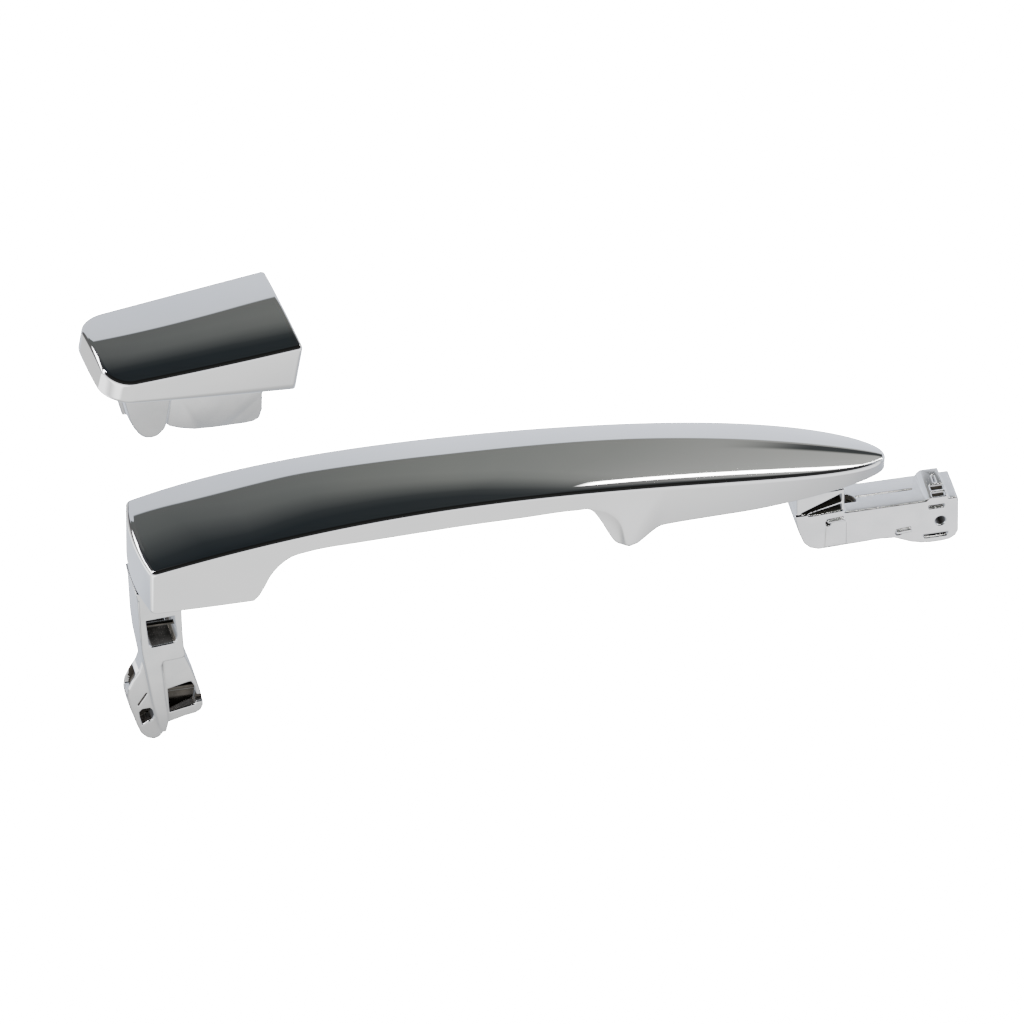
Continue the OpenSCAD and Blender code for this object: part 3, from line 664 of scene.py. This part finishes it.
def make_rear_arm():
    s = Solid((-6.6, -8.6, -58), (24, 8.6, 12.5), 0.25)
    f = -5.8
    # tongue under the core beam, and the stem's top
    s.add(s.across([(1.4, beam_low(4) - 3.4), (1.4, beam_low(4) - 0.1), (4, beam_low(4) - 0.1),
                    (11, beam_low(11) - 0.1), (18, beam_low(18) - 0.1), (22.8, beam_low(22.8) - 0.15),
                    (22.8, beam_low(22.8) - 3.4), (11, beam_low(11) - 3.4)], -5, 5))
    s.add(s.across([(1.4, -2), (10.6, -2), (10.6, beam_low(4) - 2.5), (1.4, beam_low(4) - 2.5)], -7.6, 7.6))
    # hook block and leg behind the stem's front face
    s.add(s.across(down((5, 25.8), (11.4, 25.8), (12.6, 28.5), (14.1, 32.5), (15.3, 36.4), (16.5, 40.3),
                        (17.4, 44.1), (17.5, 46.4), (16.8, 48.1), (15.3, 49), (12, 49.6), (9.1, 50.5),
                        (6.5, 51.2)), f, 6.6, 0.7))
    leg = down((0.5, 24), (-1.5, 30.5), (-3.3, 33.4), (-4.8, 36.8), (-5.1, 39.8), (-4.7, 42.5),
               (-4.2, 44.5), (-3.4, 46.9), (-2.3, 50.6), (-1.1, 53.9), (0.7, 55.9), (2.8, 56.7),
               (4.6, 56.1), (6, 54.1), (6.9, 51.6), (6.8, 44), (4, 30), (2, 24))
    s.add(s.across(leg, f, 1.2, 0.9), 0.8)
    stem = down((-2.7, 0.2), (-2.1, 4), (-1.5, 17), (-0.9, 23), (0, 28.6), (1.2, 36.2), (2.1, 42),
                (3.3, 47.7), (4, 51), (5, 53), (6.1, 53), (6.8, 50), (6.6, 46), (6, 40.8), (5.4, 33.3),
                (4.9, 28.2), (5.4, 26.8), (11, 26.4), (11.9, 25.4), (11.6, 23), (11.2, 17), (10.9, 8),
                (10.9, 0.2))
    s.add(s.across(stem, -7.6, 7.6, 0.6), 0.45)
    groove = down((5.3, 26.8), (11.3, 26.4), (11.9, 25.4), (12.5, 25.8), (11.8, 27.1), (5.3, 27.6))
    s.cut(s.across(groove, -12, f + 1.4, 0.05), 0.12, (1, -7.2, 1))
    # window with its rib
    window = s.across(down((0.2, 10.7), (8.7, 10.2), (9.5, 17.8), (9.3, 19.3), (8.6, 20.1), (1.9, 20.7),
                           (1.1, 19.8)), -12, 5.2, 0.3)
    rib = s.across([(-1, -15), (9.5, -15), (9.5, -15.8), (-1, -15.8)], -4.2, -2.6, 0.1)
    post = s.across([(6.6, -9), (7.1, -9), (7.4, -16), (6.9, -16)], -2.6, 5.5, 0.1)
    s.cut(np.maximum(window, -np.minimum(rib, post)), 0.35, (1, -6.9, 1))
    s.cut(s.across(down((-2.15, 3), (-1.7, 3), (-1, 20), (-1.45, 20)), -12, -7.15, 0.05), 0.15)
    # trough in the hook block, and its notch
    pocket = s.outline(down((6.9, 38.5), (13.8, 36.7), (15, 39), (15.6, 43), (15, 45.4), (7.4, 47)))
    trough = s.rod((-6.6, -42.2), 5.4, 2, 20, 0.2, "yz")
    ridge = s.rod((-2.2, -40.6), 1.2, 2, 20, 0.2, "yz")
    s.cut(np.maximum(s.prism(pocket, -12, -0.8, 0.4), np.maximum(trough, -ridge)), 0.4, (1, -5.4, 1))
    s.cut(s.across(down((15, 42), (20, 42), (20, 44.6), (15, 44.6)), -12, -3.6, 0.3), 0.3, (1, -5.2, 1))
    # pockets in the side of the lobe
    s.cut(s.across(down((-8, 31.5), (-1.2, 32.4), (-1.8, 36), (-3.2, 38.6), (-8, 38.6)), -4.8, 0.3, 0.2), 0.3,
          (0, -3.4, 1))
    s.cut(s.across(down((-8, 39.3), (-3.6, 39.3), (-3.2, 41), (-8, 41.6)), -5.1, -1.5, 0.2), 0.3)
    # socket in the leg and the groove above it
    socket = down((-1.6, 45.7), (-0.7, 44.7), (1.6, 44.6), (2.6, 45.8), (2.9, 47.6), (2.2, 49.3), (1, 49.5),
                  (-0.7, 50.6), (-1.4, 47.6))
    s.cut(s.across(socket, -12, -1.2, 0.3), 0.35, (1, -5.1, 1))
    groove = down((0.9, 39), (0.5, 38.8), (-2.1, 42.8), (-1.7, 43.2))
    s.cut(s.across(groove, -12, -5.1, 0.1), 0.2, (1, -5.6, 1))
    return moulded(s, "rear_arm", "handle", "rear_pull_arm", [MOULD, POCKET_SHADE])


def make_front_arm():
    s = Solid((162, -8.9, -24.2), (243, 8, 16), 0.3)
    f = -7
    bl = beam_low
    # tongue under the core beam, and the neck
    tongue = [(163, bl(163) - 3.3), (163, bl(163) - 0.1), (180, bl(180) - 0.1), (196, bl(196) - 0.15),
              (203, 5.4), (205.5, 4.4), (205.5, 0), (194, 0), (194, bl(194) - 3.3), (180, bl(180) - 3.3)]
    s.add(s.across(tongue, -4.2, 4.2))
    s.add(s.across([(193.8, -8), (193.8, float(low(194)) - 0.2), (208, float(low(208)) - 0.2), (208, -8)],
                   -6.4, 6.4, 0.25))
    body = [(193.2, -6.3), (193.4, -7.5), (194.2, -12.2), (195.8, -16.6), (197.6, -18.6), (200.2, -19.6),
            (211.2, -19.3), (218.3, -19), (223, -19.4), (227.8, -21.7), (231, -22.6), (234, -22.9),
            (236.6, -22.9), (239.4, -22.6), (241.2, -21.4), (242, -19.8), (242, -8), (241.3, -7.2),
            (208, -7.2), (207.4, -6.3)]
    s.add(s.across(body, f, 7, 0.35), 0.3)
    # the arm's top slopes down to the far side
    s.cut(s.across([(-9, -7.1), (9, -8.3), (9, -4), (-9, -4)], 208.4, 245, 0.05, "yz"), 0.25)
    # side pad with its tab, the small lower tab, and the latch tab on top
    pad = [(202, -18.8), (208.4, -18.6), (208.4, -10.6), (207.6, -9.4), (203.2, -9.4), (202.4, -10.6)]
    s.add(s.across(pad, f - 0.45, f + 1, 0.2), 0.25)
    pad_tab = [(202.4, -8.9), (207.6, -8.5), (208.2, -9.6), (207.2, -9.3), (202.9, -9.6)]
    s.add(s.across(pad_tab, f - 1.2, f + 1, 0.1), 0.2)
    low_tab = [(223.2, -16.2), (227.8, -15.8), (227.8, -16.9), (223.2, -17.3)]
    s.add(s.across(low_tab, f - 1.2, f + 1, 0.1), 0.2)
    latch_tab = [(232.0, -8.7), (232.2, -7.3), (233.6, -6.3), (238.7, -6.3), (239, -7.3), (239.2, -8.7)]
    s.add(s.across(latch_tab, -6.8, 6.8, 0.2), 0.2)
    # pivot bore, the two wedge pockets and the round recess beside the neck
    s.cut(s.rod((PIVOT_X, -PIVOT_Z), 1.65, -20, 20), 0.25, (1, f + 0.5, 1))
    s.cut(s.across([(194.8, -6), (207.2, -0.4), (207.2, -3.3), (195.8, -6.4)], -12, f + 4.6, 0.05), 0.1,
          (1, f + 0.7, 1))
    s.cut(s.across([(196.3, -6.7), (207.2, -4.1), (207.2, -6.4), (197.6, -6.9)], -12, f + 3.4, 0.05), 0.1,
          (1, f + 0.7, 1))
    disc = np.maximum(s.rod((208.2, -2.2), 4.4, -9.4, -4, 0.1, "xy"),
                      s.across([(204, -9.4), (214, -9.4), (214, -4), (204, -4)], -2.2, 8, 0.1))
    s.cut(disc, 0.2, (2, -7.7, -1))
    # parting groove, pockets in the latch tab, and slots and notches in the side
    s.cut(s.across([(213, -8.0), (229.5, -8.0), (229.5, -6), (213, -6)], -0.2, 0.25, 0.02), 0.1)
    for x, lo, hi in ((234.3, 0.6, 2.8), (234.6, 3.7, 6.0)):
        s.cut(s.across([(x, -8.8), (x + 3.7, -8.8), (x + 3.7, -5), (x, -5)], f + lo, f + hi, 0.15), 0.25,
              (2, -6.9, -1))
    s.cut(s.across([(236.2, -7.6), (236.9, -7.6), (236.9, -5), (236.2, -5)], 0.2, 3.6, 0.1), 0.2)
    s.cut(s.across([(233, -9.1), (237.8, -9.1), (237.8, -10.3), (233, -10.3)], -12, f + 1.5, 0.1), 0.2)
    s.cut(s.across([(231.4, -19.6), (239, -19.6), (238.6, -20.9), (231.8, -20.9)], -12, f + 1.5, 0.1), 0.2)
    s.cut(s.across([(223, -17.4), (225, -17.3), (225, -18.2), (223.4, -18.3)], -12, f + 1.2, 0.1), 0.2,
          (1, f + 0.3, 1))
    s.cut(s.across([(202.2, -9.7), (203.8, -9.6), (203.8, -10.9), (202.5, -11)], -12, f + 1.4, 0.1), 0.2,
          (1, f + 0.2, 1))
    # hollows that open downwards
    for x0, x1 in ((200.5, 213.4), (215.2, 228.6)):
        s.cut(s.across([(x0, -25), (x0, -10.4), (x1, -10.4), (x1, -25)], -4.6, 4.6, 0.3), 0.4)
    return moulded(s, "front_arm", "handle", "front_pivot_arm", [MOULD, POCKET_SHADE])


def make_inner_plate():
    s = Solid((0, -17.8, -5), (214, 17.8, 19.5), 0.5)
    xs = np.concatenate([np.linspace(2, 29, 12), np.linspace(30, 54, 40), np.linspace(56, 120, 30),
                         np.linspace(122, 156, 60), np.linspace(158, 212, 20)])
    lean = 1.7 * np.clip((xs - 85) / 20, -1, 1)
    strip = list(zip(xs, low(xs))) + list(zip((xs + lean)[::-1], (low(xs) + INNER_WALL)[::-1]))
    xp = np.linspace(3.2, 3.2 + TIP - 13.2, 60)
    w = (half(xp) - inset(xp)) * (half(xp) - WALL) / half(xp) - GAP - rolled_in(xp, low(xp))
    plan = list(zip(xp, -w)) + list(zip(xp[::-1], w[::-1]))
    s.add(np.maximum(s.across(strip, -25, 25, 0.05), s.across(plan, -20, 40, 0.05, "xy")))
    # openings for the two arms
    s.cut(s.across([(-1, -9.2), (11.2, -9.2), (11.2, 9.2), (-1, 9.2)], -10, 14, 0.1, "xy"), 0.3)
    s.cut(s.across([(192.4, -4.4), (230, -4.4), (230, 4.4), (192.4, 4.4)], -10, 14, 0.1, "xy"), 0.3)
    for x in (27, 147):
        z = float(low(x))
        s.cut(s.rod((x, 0), HOLE_R, -10, 19, 0.1, "xy"), 0.2)
        s.cut(s.rod((x, 0), HEAD_R, -10, z + 1.3, 0.1, "xy"), 0.3)
    return moulded(s, "inner_plate", "handle", "grip_inner_shell", [PLATE])


def cap_h(x, w):
    """Half width of the cap's outline at x, drawn in by w."""
    k = CAP_C - CAP_L
    d = k - x
    if d <= 0:
        return float(cap_half(x)) - w
    return float(cap_half(k)) - CAP_C + math.sqrt(max(0.01, (CAP_C - w) ** 2 - d * d))


def make_cap_base():
    s = Solid((-56, -17.2, -18.9), (0, 17.2, 3.2), 0.35)
    end = CAP_L - 2 * WALL - 1.2
    t = np.radians(np.linspace(0, 90, 40))
    xs = -3.2 - end * np.sin(t) * (0.55 + 0.45 * np.sin(t))
    w = np.array([cap_h(x, WALL + GAP) for x in xs])
    ym = np.linspace(0.92, -0.92, 23) * w[0]
    mate = -3 - CAP_HOLLOW * (1 - (ym / CAP_H) ** 2) * (1 - 3 / 45) ** 2
    plan = list(zip(mate, ym)) + list(zip(xs, -w)) + list(zip(xs[::-1], w[::-1]))
    s.add(s.across(plan, 0, INNER_WALL, 0.3, "xy"))
    # lobe with its slanted rear wall, and the rib behind it
    lobe = [(-52.6, 0.5), (-48.3, -10.8), (-46.6, -13.6), (-44.9, -15.8), (-43.6, -17), (-42.4, -17.6),
            (-40.4, -17.9), (-38.9, -17.4), (-37.6, -16), (-36.8, -14.8), (-36.55, -13), (-36.55, 0.5)]
    s.add(s.across(lobe, -12.3, 3.5, 0.4), 0.4)
    s.add(s.across([(-54.2, 0.5), (-49.8, -10.4), (-47.4, -10.4), (-51.4, 0.5)], -9.4, -8.2, 0.1), 0.2)
    # opening for the blank, the lobe's hollow, and the insert's seat
    s.cut(s.across([(-33.6, -9.6), (-11.4, -9.6), (-11.4, 3.6), (-33.6, 3.6)], -1, 4, 0.1, "xy"), 0.3)
    s.cut(s.across([(-50.2, -1.5), (-46.4, -9.6), (-39, -9.6), (-39, -1.5)], -9.4, 9, 0.3), 0.4)
    s.cut(s.rod((-4.2, -13.4), 3.05, -50, -30, 0.1, "yz"), 0.2)
    for x, y in ((-12, 11.4), (-43, 10.2)):
        s.cut(s.rod((x, y), HOLE_R, -5, 5, 0.1, "xy"), 0.2)
        s.cut(s.rod((x, y), HEAD_R, -5, 1.3, 0.1, "xy"), 0.2)
    return moulded(s, "cap_frame", "cap", "cap_base", [MOULD], cap_to_row, CAP_TURN_M)


def make_cap_blank():
    s = Solid((-37.4, -13, -18), (-6, 7, 4.6), 0.3)
    lobe = [(-36.4, -0.2), (-36.4, -13.6), (-35.4, -14.4), (-32.1, -15.6), (-27.4, -16.6), (-21.2, -16.7),
            (-12.1, -16.4), (-9.1, -16), (-7.4, -14.8), (-7, -11.6), (-7.8, -6), (-7.8, -0.2)]
    s.add(s.across(lobe, -12, 6, 0.4), 0.4)
    # plug through the base, its flange, and the hollow
    s.add(s.across([(-33.4, -9.4), (-11.6, -9.4), (-11.6, 3.4), (-33.4, 3.4)], -1, 2.4, 0.3, "xy"), 0.4)
    s.add(s.across([(-35, -10.8), (-10, -10.8), (-10, 4.8), (-35, 4.8)], 2.35, 3.75, 0.3, "xy"), 0.3)
    s.cut(s.across([(-34.4, -2.2), (-34.4, -12), (-28.6, -14.4), (-12, -14.2), (-9.6, -12), (-9.6, -2.2)],
                   -10.2, 9, 0.3), 0.5)
    return moulded(s, "cap_blank", "cap", "cap_cylinder_blank", [MOULD], cap_to_row, CAP_TURN_M)


make_rear_arm()
make_front_arm()
make_inner_plate()
make_cap_base()
make_cap_blank()

# CAD nodes that are shown as they are
CARRIED = {"grip_core_beam": CORE, "rear_arm_screws": STEEL, "front_arm_screws": STEEL, "shell_screws": STEEL,
           "cap_base_screws": STEEL, "cap_thread_insert": BRASS}
for node, mat in CARRIED.items():
    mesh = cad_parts[node].data
    mesh.materials.clear()
    mesh.materials.append(mat)
    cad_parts[node].visible_glossy = False


# ---------------------------------------------------------------- stage
# The floor and the world are white to the camera and have other tones in reflections
CAMERA_WHITE = 30.0


def emission_for_rays(nt, out, seen, lit):
    """Emission of strength seen for camera rays, and of colour lit for all others."""
    n, l = nt.nodes, nt.links
    path = n.new("ShaderNodeLightPath")
    white = n.new("ShaderNodeEmission")
    white.inputs["Strength"].default_value = seen
    other = n.new("ShaderNodeEmission")
    l.new(lit, other.inputs["Color"])
    pick = n.new("ShaderNodeMixShader")
    l.new(path.outputs["Is Camera Ray"], pick.inputs[0])
    l.new(other.outputs[0], pick.inputs[1])
    l.new(white.outputs[0], pick.inputs[2])
    l.new(pick.outputs[0], out.inputs[0])


def drawing_axes(nt):
    """X, Y and Z of a point in the drawing frame, in millimetres, as three sockets."""
    n, l = nt.nodes, nt.links
    coord = n.new("ShaderNodeTexCoord")
    sep = n.new("ShaderNodeSeparateXYZ")
    l.new(coord.outputs["Object"], sep.inputs[0])
    out = []
    for axis, shift in (("X", PIVOT_X), ("Y", 0.0), ("Z", -PIVOT_Z)):
        m = n.new("ShaderNodeMath")
        m.operation = "MULTIPLY_ADD"
        m.inputs[1].default_value, m.inputs[2].default_value = 1000.0, shift
        l.new(sep.outputs[axis], m.inputs[0])
        out.append(m.outputs[0])
    return out


def calc(nt, op, a, b=0.0):
    """A Math node on two numbers or sockets."""
    m = nt.nodes.new("ShaderNodeMath")
    m.operation = op
    for i, v in enumerate((a, b)):
        if isinstance(v, (int, float)):
            m.inputs[i].default_value = v
        else:
            nt.links.new(v, m.inputs[i])
    return m.outputs[0]


def ramp(nt, value, lo, hi, stops):
    """A colour ramp over value from lo to hi, with stops in the same unit as value."""
    r = nt.nodes.new("ShaderNodeValToRGB")
    while len(r.color_ramp.elements) < len(stops):
        r.color_ramp.elements.new(0.5)
    for e, (pos, c) in zip(r.color_ramp.elements, stops):
        e.position = (pos - lo) / (hi - lo)
        e.color = (*((c, c, c) if isinstance(c, (int, float)) else c), 1)
    t = spread(nt, value, (lo, hi), (0, 1))
    t.node.interpolation_type = "LINEAR"
    nt.links.new(t, r.inputs[0])
    return r.outputs[0]


def falling_line(nt, x, slope, x0, z0):
    """Height, at x, of a straight line that falls by slope and passes z0 at x0."""
    z = calc(nt, "MULTIPLY_ADD", x, -slope)
    z.node.inputs[2].default_value = z0 + slope * x0
    return z


def bare_material(name):
    m = bpy.data.materials.new(name)
    m.use_nodes = True
    m.node_tree.nodes.clear()
    return m, m.node_tree, m.node_tree.nodes.new("ShaderNodeOutputMaterial")


def make_floor():
    radius, clearance = 6.0, 0.0008
    bm = bmesh.new()
    bmesh.ops.create_circle(bm, cap_ends=True, segments=96, radius=radius)
    me = bpy.data.meshes.new("floor")
    bm.to_mesh(me)
    bm.free()
    for v in me.vertices:
        v.co.z = cad_lo.z - clearance
    ob = bpy.data.objects.new("floor", me)
    scene.collection.objects.link(ob)
    m, nt, out = bare_material("floor_paper")
    x, y, _ = drawing_axes(nt)
    # painted light and shade, seen only in reflections: brighter towards the tip, a painted bright patch at
    # the rear end, and a painted shadow right under the object
    tone = ramp(nt, x, -200, 500, [(-200, (1.30, 1.30, 1.27)), (150, (1.36, 1.36, 1.35)),
                                   (230, (1.6, 1.6, 1.62)), (500, (1.75, 1.75, 1.8))])
    tone = mixed(nt, spread(nt, y, (-15, 25), (0, 1)), tone, (1.08, 1.15, 1.28))
    tone = mixed(nt, spread(nt, x, (-80, -50), (1, 0)), tone, (2.6, 2.6, 2.6))
    under = ramp(nt, y, -60, 60, [(-60, 1.0), (-42, 0.97), (-16, 0.62), (0, 0.5), (20, 0.62), (60, 1.0)])
    tone = mixed(nt, 1.0, tone, under, "MULTIPLY")
    emission_for_rays(nt, out, CAMERA_WHITE, tone)
    # from below the floor lets the view through
    top = out.inputs[0].links[0].from_socket
    geometry = nt.nodes.new("ShaderNodeNewGeometry")
    clear = nt.nodes.new("ShaderNodeBsdfTransparent")
    one_side = nt.nodes.new("ShaderNodeMixShader")
    nt.links.new(geometry.outputs["Backfacing"], one_side.inputs[0])
    nt.links.new(top, one_side.inputs[1])
    nt.links.new(clear.outputs[0], one_side.inputs[2])
    nt.links.new(one_side.outputs[0], out.inputs[0])
    me.materials.append(m)


def make_card():
    """A tall card close behind the object, out of the camera's sight, that the plating mirrors.

    It isn't even light: its bright and dark zones are placed for the reflections that the main view
    shows, so they fall elsewhere in other views."""
    y = 0.105
    lo, hi = to_row([(-800, 0, -23)])[0], to_row([(1200, 0, 420)])[0]
    me = bpy.data.meshes.new("card")
    me.from_pydata([(lo[0], y, lo[2]), (hi[0], y, lo[2]), (hi[0], y, hi[2]), (lo[0], y, hi[2])], [],
                   [(0, 1, 2, 3)])
    ob = bpy.data.objects.new("card", me)
    ob.visible_camera = False
    ob.visible_shadow = False
    scene.collection.objects.link(ob)
    m, nt, out = bare_material("card_paper")
    x, _, z = drawing_axes(nt)
    # the height where the light zone ends and the grey one starts
    edge = calc(nt, "ADD", spread(nt, x, (5, 62), (88, 77)), spread(nt, x, (-30, 48), (-15, 0)))
    edge = calc(nt, "ADD", edge, spread(nt, x, (110, 190), (0, -8)))
    above = calc(nt, "SUBTRACT", z, edge)
    light = ramp(nt, z, 0, 90, [(0, (1.42, 1.5, 1.66)), (45, (1.16, 1.22, 1.36)), (90, (1.0, 1.05, 1.14))])
    along = ramp(nt, x, 0, 400, [(0, 0.86), (60, 0.95), (110, 1.08), (400, 1.12)])
    light = mixed(nt, 1.0, light, along, "MULTIPLY")
    grey = ramp(nt, x, 0, 400, [(0, (0.118, 0.12, 0.112)), (20, (0.125, 0.126, 0.118)),
                                (76, (0.175, 0.177, 0.162)), (128, (0.225, 0.228, 0.208)),
                                (180, (0.275, 0.277, 0.255)), (240, (0.40, 0.40, 0.375)),
                                (300, (0.52, 0.52, 0.49)), (400, (0.7, 0.7, 0.66))])
    # the grey fades upwards about this height
    centre = calc(nt, "MULTIPLY", ramp(nt, x, 0, 220, [(0, 0.132), (25, 0.152), (60, 0.152), (95, 0.168),
                                                       (150, 0.195), (220, 0.265)]), 1000)
    fade = ramp(nt, calc(nt, "SUBTRACT", z, centre), -50, 120,
                [(-50, 1.0), (-25, 0.85), (0, 0.52), (30, 0.2), (60, 0.11), (120, 0.1)])
    grey = mixed(nt, 1.0, grey, fade, "MULTIPLY")
    # a dark seam near the tip
    seam = calc(nt, "MULTIPLY", spread(nt, x, (215, 262), (0, 1)),
                calc(nt, "MULTIPLY", spread(nt, above, (3, 8), (0, 1)), spread(nt, above, (22, 34), (1, 0))))
    grey = mixed(nt, seam, grey, (0.05, 0.05, 0.048))
    # a bright strip between two slanting lines
    low_line = falling_line(nt, x, 0.5, 210, 243)
    high_line = falling_line(nt, x, 0.448, 215, 262)
    strip = calc(nt, "MULTIPLY", spread(nt, calc(nt, "SUBTRACT", z, low_line), (-3, 3), (0, 1)),
                 spread(nt, calc(nt, "SUBTRACT", high_line, z), (-2, 2), (0, 1)))
    strip = calc(nt, "MULTIPLY", strip, spread(nt, x, (206, 216), (0, 1)))
    grey = mixed(nt, strip, grey, (22, 21.6, 21))
    # slightly blue where it is darkest
    grey = mixed(nt, 1.0, grey, (0.008, 0.012, 0.017), "ADD")
    colour = mixed(nt, spread(nt, above, (-1.3, 1.3), (0, 1)), light, grey)
    # left of the object: a dim zone with a bright panel above it
    dim = ramp(nt, z, 0, 200, [(0, 1.0), (24, 1.0), (31, 0.13), (100, 0.12), (160, 0.05), (200, 0.03)])
    where = calc(nt, "MULTIPLY", spread(nt, x, (-30, -22), (1, 0)), spread(nt, z, (100, 120), (1, 0)))
    colour = mixed(nt, where, colour, dim)
    panel = ramp(nt, z, 0, 200, [(0, 0.13), (78, 0.13), (83, 10.0), (118, 10.0), (124, 0.1), (200, 0.05)])
    where = calc(nt, "MULTIPLY", spread(nt, x, (-44, -40), (1, 0)), spread(nt, z, (40, 46), (0, 1)))
    colour = mixed(nt, where, colour, panel)
    lamp = calc(nt, "MULTIPLY", spread(nt, x, (-116, -108), (1, 0)), spread(nt, z, (225, 235), (0, 1)))
    colour = mixed(nt, lamp, colour, (14, 14, 14))
    emit = nt.nodes.new("ShaderNodeEmission")
    nt.links.new(colour, emit.inputs["Color"])
    nt.links.new(emit.outputs[0], out.inputs[0])
    me.materials.append(m)


def make_world():
    w = bpy.data.worlds.new("studio")
    scene.world = w
    w.use_nodes = True
    nt = w.node_tree
    n, l = nt.nodes, nt.links
    n.clear()
    out = n.new("ShaderNodeOutputWorld")
    coord = n.new("ShaderNodeTexCoord")
    sep = n.new("ShaderNodeSeparateXYZ")
    l.new(coord.outputs["Generated"], sep.inputs[0])
    # by the sine of the elevation, behind and in front of the object
    back = ramp(nt, sep.outputs["Z"], 0, 1, [(0.0, (1.1, 1.15, 1.25)), (0.5, (1.0, 1.05, 1.15)), (0.62, 0.1),
                                             (0.9, 0.02), (1.0, 0.012)])
    front = ramp(nt, sep.outputs["Z"], 0, 1, [(0.0, (1.35, 1.36, 1.4)), (0.28, (1.4, 1.4, 1.42)),
                                              (0.36, 0.05), (0.7, 0.03), (1.0, 0.015)])
    side = spread(nt, sep.outputs["Y"], (-0.03, 0.03), (0, 1))
    bg = n.new("ShaderNodeBackground")
    l.new(mixed(nt, side, front, back), bg.inputs["Color"])
    white = n.new("ShaderNodeBackground")
    white.inputs["Color"].default_value = (1, 1, 1, 1)
    white.inputs["Strength"].default_value = CAMERA_WHITE
    path = n.new("ShaderNodeLightPath")
    pick = n.new("ShaderNodeMixShader")
    l.new(path.outputs["Is Camera Ray"], pick.inputs[0])
    l.new(bg.outputs[0], pick.inputs[1])
    l.new(white.outputs[0], pick.inputs[2])
    l.new(pick.outputs[0], out.inputs[0])


def soft_light(name, loc, target, size, power):
    d = bpy.data.lights.new(name, "AREA")
    d.shape = "DISK"
    d.size, d.energy = size, power
    o = bpy.data.objects.new(name, d)
    o.location = loc
    o.rotation_mode = "QUATERNION"
    o.rotation_quaternion = (Vector(target) - Vector(loc)).to_track_quat("-Z", "Y")
    o.visible_glossy = False
    o.visible_camera = False
    scene.collection.objects.link(o)


make_floor()
make_card()
make_world()
soft_light("top_soft", (-0.1, -0.4, 1.6), (-0.1, 0, 0), 1.4, 14)
